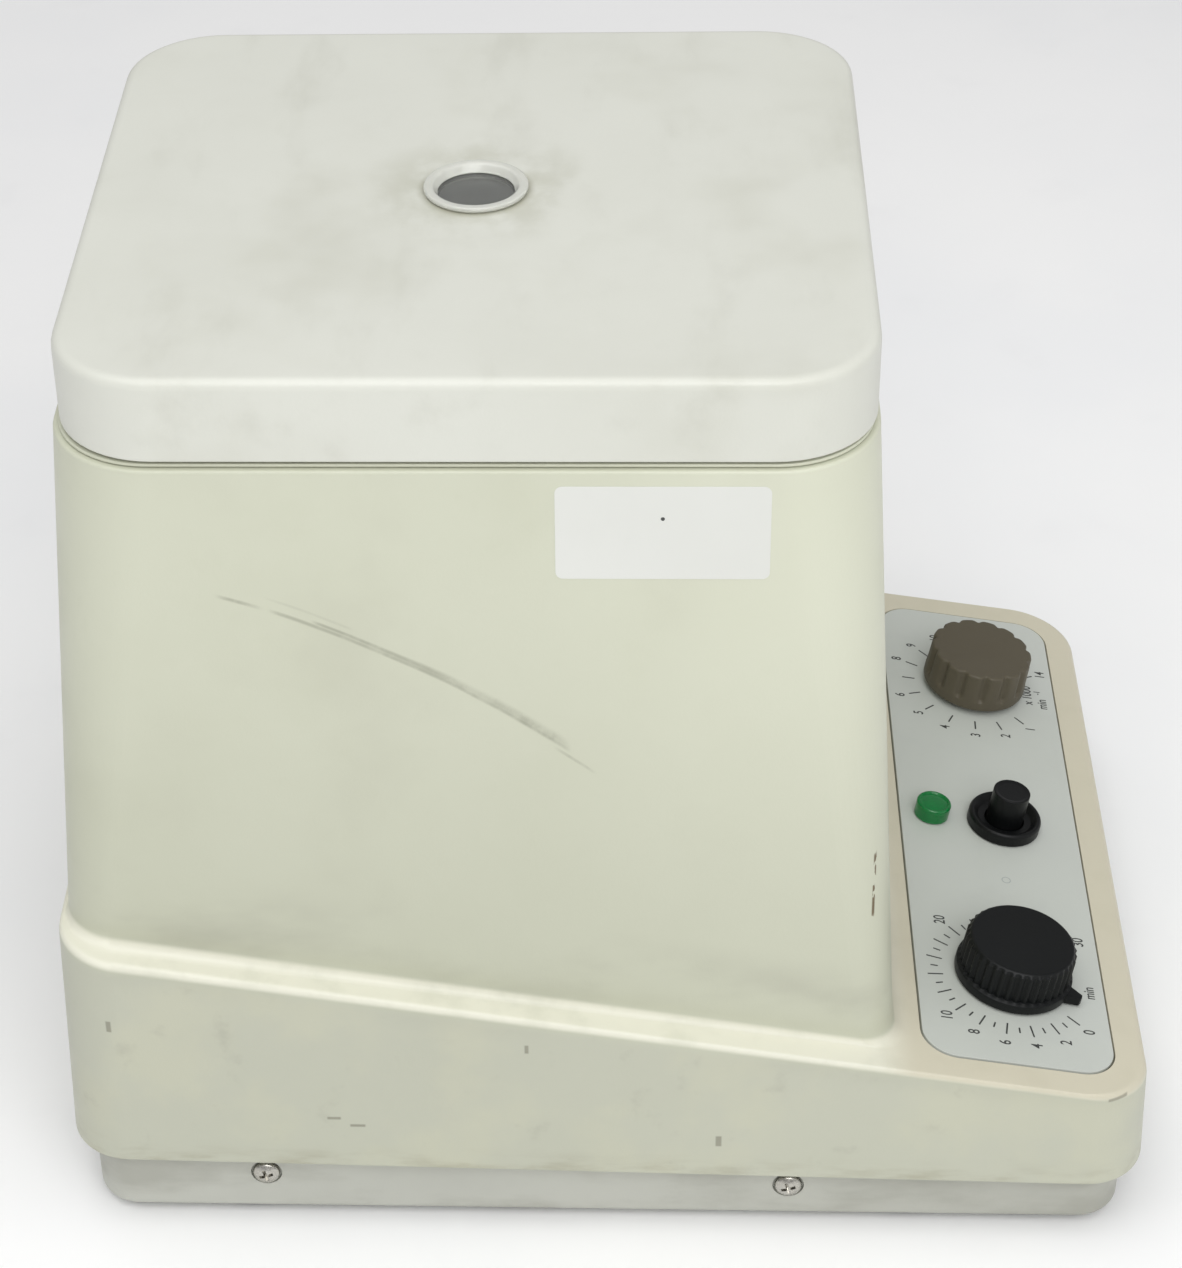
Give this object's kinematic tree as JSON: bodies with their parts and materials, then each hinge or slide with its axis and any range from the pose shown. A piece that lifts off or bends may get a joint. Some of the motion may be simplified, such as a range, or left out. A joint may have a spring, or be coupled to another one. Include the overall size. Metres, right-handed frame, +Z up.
{
  "type": "benchtop microcentrifuge",
  "caption": "Small benchtop centrifuge for micro tubes: hinged lid with sight glass over a rotor chamber, sloping control panel with speed and timer knobs, lamp and button.",
  "frame": {"origin": "on the bench, under the middle of the base's bounding box", "axes": "+Z up, -Y towards the control panel (front), +X to the right of someone at the controls, lid hinge at +Y"},
  "size_m": [0.21, 0.279, 0.2535],
  "materials": {
    "housing_ivory": "moulded structural foam, satin, slightly grimy",
    "lid_white": "moulded, satin, off-white",
    "pan_grey": "moulded, light grey",
    "panel_grey": "screen-printed plate, pale blue-grey",
    "knob_taupe": "moulded, taupe",
    "knob_black": "moulded, black, slight sheen",
    "lamp_green": "translucent green plastic",
    "clear_plastic": "clear acrylic",
    "rubber_black": "black rubber",
    "steel_sheet": "satin steel",
    "steel_dark": "dark painted steel",
    "rotor_alloy": "anodised aluminium",
    "winding_copper": "varnished copper winding and laminations",
    "circuit_board": "green circuit board",
    "screw_nickel": "nickel-plated steel"
  },
  "bodies": {
    "enclosure": {"housing": "housing_ivory", "chamber_plate": "housing_ivory", "tower_rim": "housing_ivory", "base_pan": "pan_grey", "foot_left_front": "rubber_black", "foot_left_rear": "rubber_black", "foot_right_front": "rubber_black", "foot_right_rear": "rubber_black", "housing_screw_left_rear": "screw_nickel", "housing_screw_left_front": "screw_nickel", "housing_screw_right_rear": "screw_nickel", "housing_screw_right_front": "screw_nickel", "hinge_body_leaf": "steel_sheet", "hinge_pin": "screw_nickel", "latch_solenoid": "steel_dark", "chamber_bowl": "steel_sheet", "motor_case": "steel_dark", "motor_cover": "rotor_alloy", "bearing_lower": "steel_sheet", "bearing_upper": "steel_sheet", "stator": "winding_copper", "motor_plate": "steel_sheet", "motor_mount_front_left": "rubber_black", "motor_mount_rear_left": "rubber_black", "motor_mount_front_right": "rubber_black", "motor_mount_rear_right": "rubber_black", "motor_stand": "steel_dark", "control_plate": "panel_grey", "timer_body": "steel_dark", "speed_control": "steel_dark", "lamp_lens": "lamp_green", "lamp_holder": "knob_black", "button_collar": "knob_black", "button_switch": "knob_black", "control_board": "circuit_board", "board_heat_sink": "rotor_alloy", "mains_transformer": "steel_dark", "suppression_capacitor": "rotor_alloy", "rear_plate": "steel_dark", "power_inlet": "knob_black", "switch_body": "knob_black", "fuse_holder": "knob_black"},
    "lid": {"lid_shell": "lid_white", "lid_liner": "pan_grey", "lid_gasket": "rubber_black", "sight_glass": "clear_plastic", "lid_striker": "steel_sheet", "hinge_lid_leaf": "steel_sheet"},
    "rotor_assembly": {"rotor": "rotor_alloy", "rotor_nut": "screw_nickel", "rotor_lid": "rotor_alloy", "motor_shaft": "steel_sheet", "armature": "steel_dark"},
    "speed_knob_body": {"speed_knob": "knob_taupe", "speed_shaft": "steel_sheet"},
    "timer_knob_body": {"timer_knob": "knob_black", "timer_shaft": "steel_sheet"},
    "lid_button": {"button_cap": "knob_black"},
    "latch": {"latch_bolt": "steel_sheet"},
    "mains_switch": {"mains_rocker": "knob_black"}
  },
  "joints": [
    {"name": "lid_hinge", "type": "hinge", "parent": "enclosure", "child": "lid", "pos_m": [0, 0.1299, 0.2296], "axis": [-1, 0, 0], "range_deg": [0, 95]},
    {"name": "rotor_spin", "type": "hinge", "parent": "enclosure", "child": "rotor_assembly", "pos_m": [0, 0.0313, 0.19], "axis": [0, 0, 1], "continuous": true},
    {"name": "speed_knob_turn", "type": "hinge", "parent": "enclosure", "child": "speed_knob_body", "pos_m": [0.0619, -0.1059, 0.05434], "axis": [0, -0.1599, 0.9871], "range_deg": [-66, 221]},
    {"name": "timer_knob_turn", "type": "hinge", "parent": "enclosure", "child": "timer_knob_body", "pos_m": [-0.064, -0.106, 0.05433], "axis": [0, -0.1599, 0.9871], "range_deg": [-293, 0]},
    {"name": "lid_button_press", "type": "slide", "parent": "enclosure", "child": "lid_button", "axis": [0, 0.1599, -0.9871], "range_m": [0, 0.003], "stiffness_N_per_m": 250, "springref_m": -0.001},
    {"name": "latch_slide", "type": "slide", "parent": "enclosure", "child": "latch", "axis": [-1, 0, 0], "range_m": [0, 0.007], "stiffness_N_per_m": 200, "springref_m": -0.001},
    {"name": "mains_rocker_tip", "type": "hinge", "parent": "enclosure", "child": "mains_switch", "pos_m": [-0.006, 0.1323, 0.056], "axis": [-1, 0, 0], "range_deg": [0, 18]}
  ]
}
